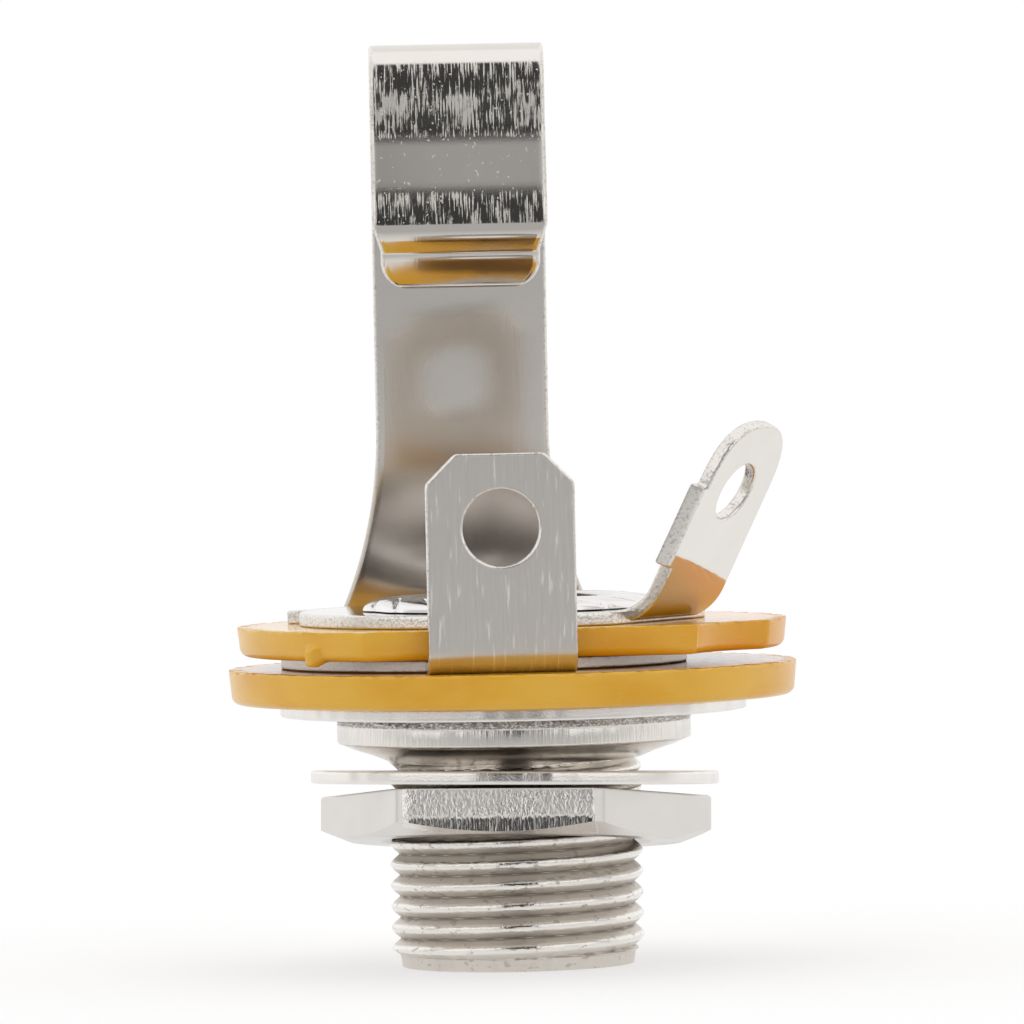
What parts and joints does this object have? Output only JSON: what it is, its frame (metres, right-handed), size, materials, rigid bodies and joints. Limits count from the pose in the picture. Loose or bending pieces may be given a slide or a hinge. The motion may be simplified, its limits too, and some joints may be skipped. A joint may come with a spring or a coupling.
{
  "type": "quarter inch phone jack",
  "caption": "Open-frame quarter inch phone jack: threaded bushing with nut and washer, insulating boards, solder lugs, and a hooked spring contact that grips the plug's tip.",
  "frame": {"origin": "on the bushing's axis, at the foot of the flange's cone where the panel seats", "axes": "+Z along the bore towards the hook, the way the plug goes in; +Y towards the spring arm; the tip's solder lug is on -Y and the sleeve's lug on +X"},
  "size_m": [0.0214, 0.0214, 0.0348],
  "materials": {
    "bushing_nickel": "bright nickel plate on turned metal",
    "hardware_nickel": "satin nickel plate on stamped steel",
    "contact_nickel": "satin nickel plate on spring sheet, fine rolling grain",
    "phenolic": "amber paper laminate, glazed faces and punched edges",
    "fibre": "brown fibre tube"
  },
  "bodies": {
    "frame": {"bushing": "bushing_nickel", "backing_washer": "hardware_nickel", "lower_insulator": "phenolic", "insulating_tube": "fibre", "tip_terminal": "contact_nickel", "upper_insulator": "phenolic", "sleeve_terminal": "contact_nickel"},
    "washer": {"mounting_washer": "hardware_nickel"},
    "nut": {"mounting_nut": "hardware_nickel"},
    "spring": {"tip_spring": "contact_nickel"}
  },
  "joints": [
    {"name": "washer_slide", "type": "slide", "parent": "frame", "child": "washer", "axis": [0, 0, 1], "range_m": [-0.0038, 0.0002]},
    {"name": "nut_turn", "type": "hinge", "parent": "washer", "child": "nut", "pos_m": [0, 0, -0.00228], "axis": [0.0208, 0.1045, 0.9943], "range_deg": [-1740, 100]},
    {"name": "tip_flex", "type": "hinge", "parent": "frame", "child": "spring", "pos_m": [-0.00176, 0.00837, 0.00443], "axis": [-0.9998, -0.0175, 0], "range_deg": [0, 8], "stiffness_Nm_per_rad": 1}
  ],
  "couplings": [
    {"joint": "nut_turn", "follows": "washer_slide", "rad_per_m": 7915.8}
  ]
}
